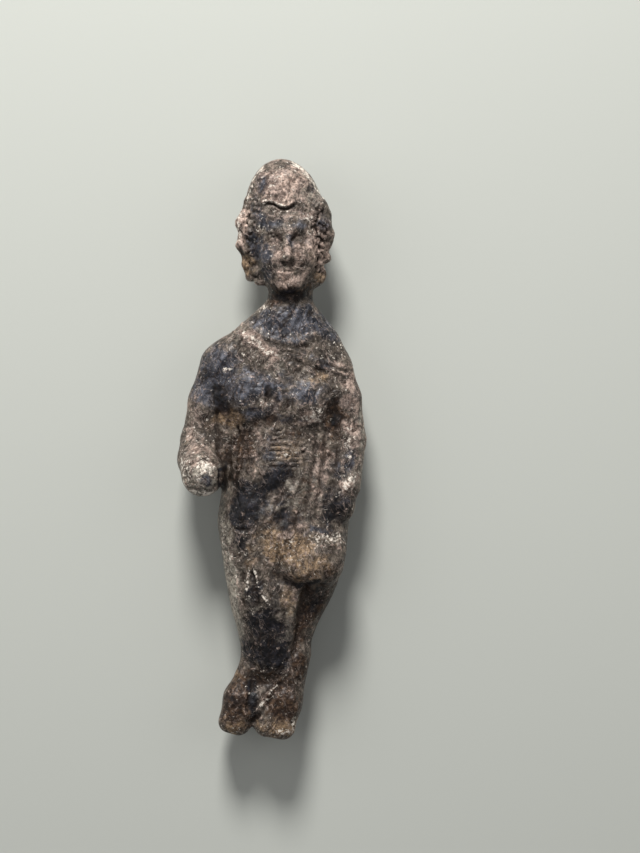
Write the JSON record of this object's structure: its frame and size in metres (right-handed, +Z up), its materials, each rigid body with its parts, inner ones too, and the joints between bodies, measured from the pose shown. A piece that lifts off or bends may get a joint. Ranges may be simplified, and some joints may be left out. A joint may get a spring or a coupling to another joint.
{
  "type": "lead venus figurine",
  "caption": "Small cast lead figurine of a draped standing woman in a high head-dress, one forearm broken off, lying on its back.",
  "frame": {"origin": "on the plane on which the figurine lies, under the middle of its box", "axes": "+Y from the toes to the top of the head-dress, +X to the figure's left side, +Z up out of its face"},
  "size_m": [0.0298, 0.0922, 0.0161],
  "materials": {
    "lead": "weathered lead: dark slate and blue-black patina, rubbed to pinkish beige and crusted with cream corrosion"
  },
  "bodies": {
    "root": {"venus_figurine": "lead"}
  },
  "joints": []
}
